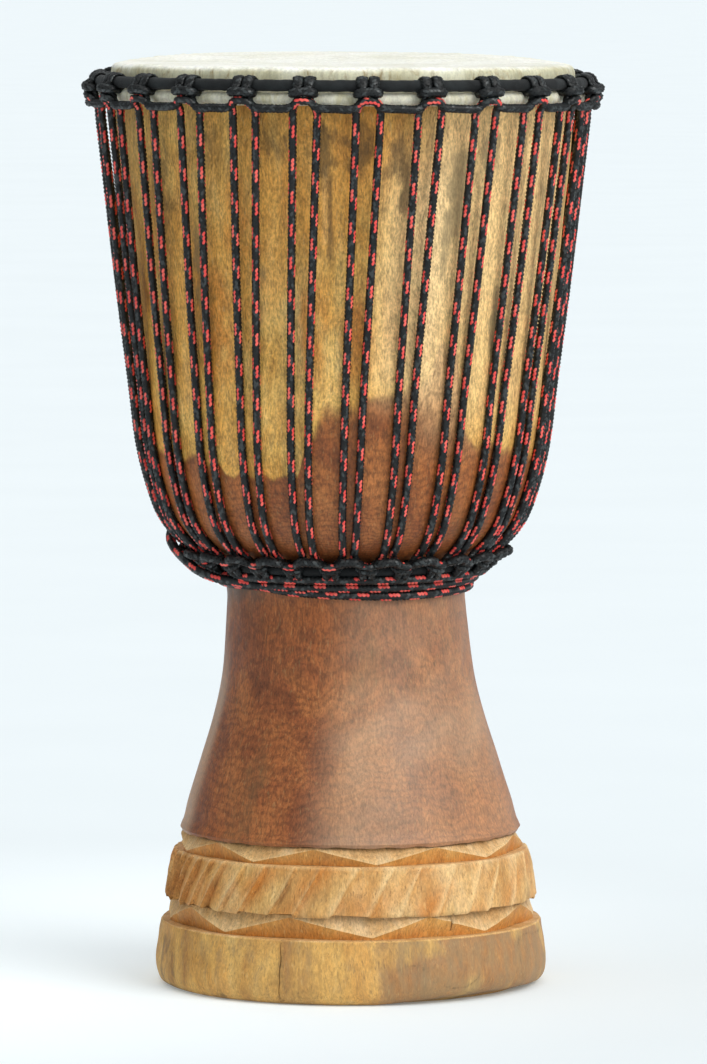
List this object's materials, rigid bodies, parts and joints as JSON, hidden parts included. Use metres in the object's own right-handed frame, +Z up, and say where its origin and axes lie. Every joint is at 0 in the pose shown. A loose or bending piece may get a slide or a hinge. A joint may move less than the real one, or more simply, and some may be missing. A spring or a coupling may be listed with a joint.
{
  "type": "rope-tuned goblet drum",
  "caption": "Rope-tuned goblet hand drum: a carved one-piece wooden shell with a flared foot, a skin head, cloth-wound tuning rings and braided rope lacing.",
  "frame": {"origin": "centre of the foot's resting ring, on the surface the drum stands on", "axes": "+Z up along the drum's axis to the head, -Y to the front, where the spare rope crosses lowest, +X to the front's right"},
  "size_m": [0.3389, 0.3388, 0.601],
  "materials": {
    "shell_wood": "oiled hardwood, satin, raw and lighter where carved at the foot",
    "head_skin": "dry rawhide goatskin, matt, mottled cream",
    "hoop_steel": "plain steel rod, dull",
    "ring_steel": "plain steel rod, dull",
    "ring_cloth": "black cotton strip wound round the ring, matt",
    "loop_rope": "black braided polyester, slight sheen",
    "lacing_rope": "black braided polyester with a coral red tracer"
  },
  "bodies": {
    "root": {"shell": "shell_wood", "skin_head": "head_skin", "flesh_hoop": "hoop_steel", "crown_ring": "ring_steel", "crown_ring_wrap": "ring_cloth", "crown_loop_rope": "loop_rope", "lacing_rope": "lacing_rope", "bottom_loop_rope": "loop_rope", "bottom_ring": "ring_steel", "bottom_ring_wrap": "ring_cloth", "spare_rope": "lacing_rope"}
  },
  "joints": []
}
